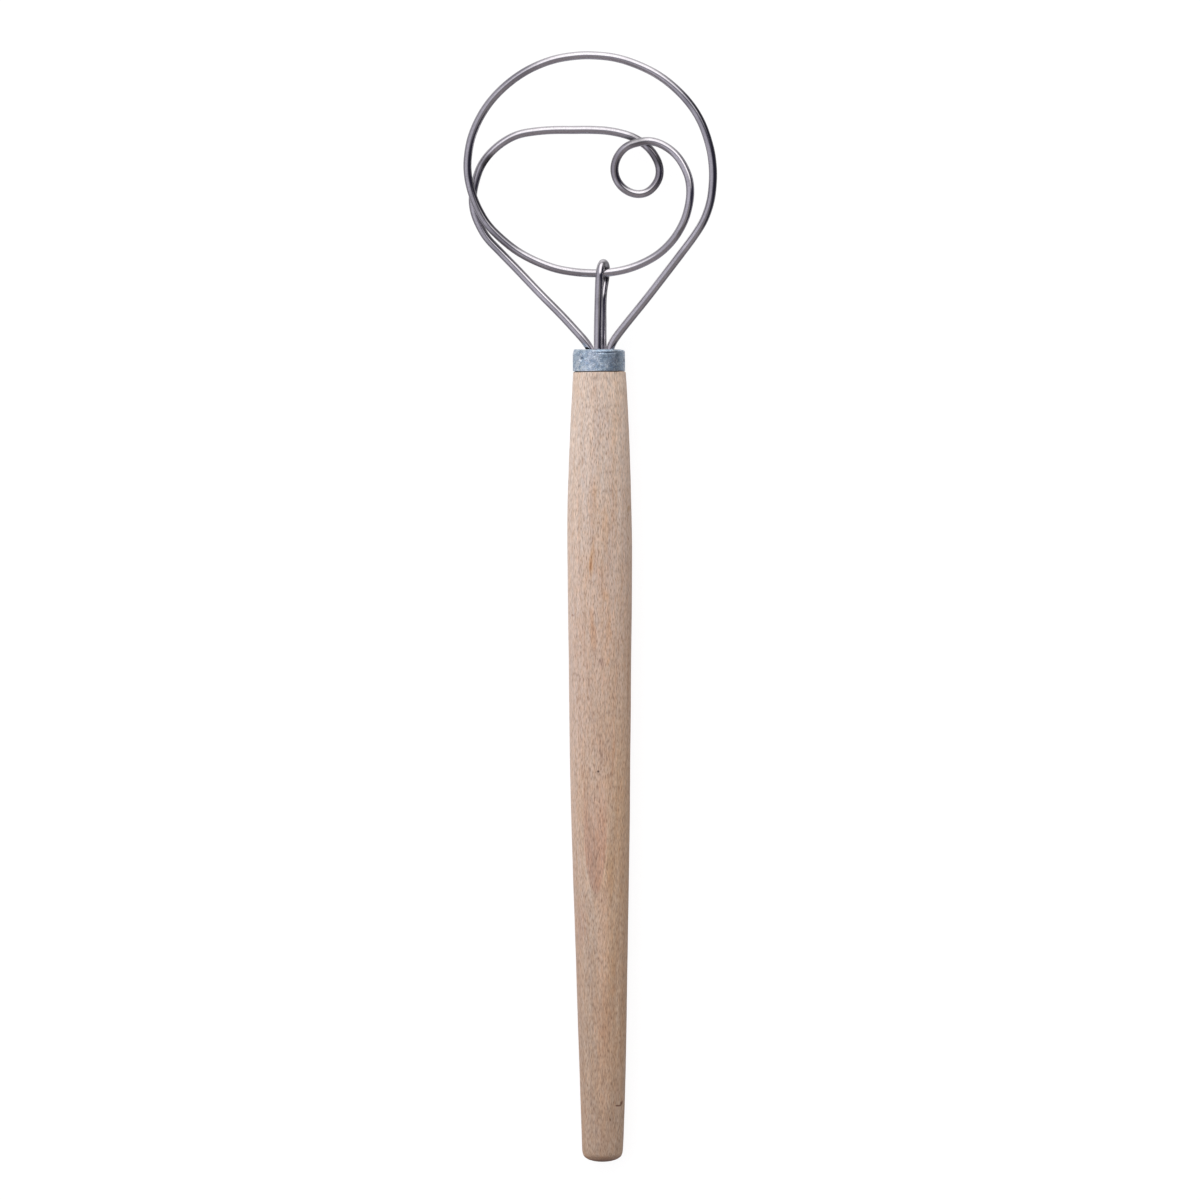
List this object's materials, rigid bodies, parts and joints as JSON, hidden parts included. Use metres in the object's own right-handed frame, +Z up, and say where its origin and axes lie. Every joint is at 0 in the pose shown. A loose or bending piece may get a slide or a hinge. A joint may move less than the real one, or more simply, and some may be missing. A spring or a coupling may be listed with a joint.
{
  "type": "dough whisk",
  "caption": "Dough whisk with a flat head of bent steel wire, a beech handle and a zinc-coated steel ferrule.",
  "frame": {"origin": "middle of the whole outline seen from above, on the surface that it lies on", "axes": "+Z up, square to the flat wire head; +Y along the handle towards the head; +X to the right as seen in the picture"},
  "size_m": [0.087, 0.3809, 0.0222],
  "materials": {
    "beech": "matte",
    "wire_steel": "satin",
    "ferrule_steel": "satin",
    "adhesive": "satin"
  },
  "bodies": {
    "root": {"handle": "beech", "ferrule": "ferrule_steel", "adhesive_plug": "adhesive", "whisk_wire": "wire_steel", "hook_wire": "wire_steel"}
  },
  "joints": []
}
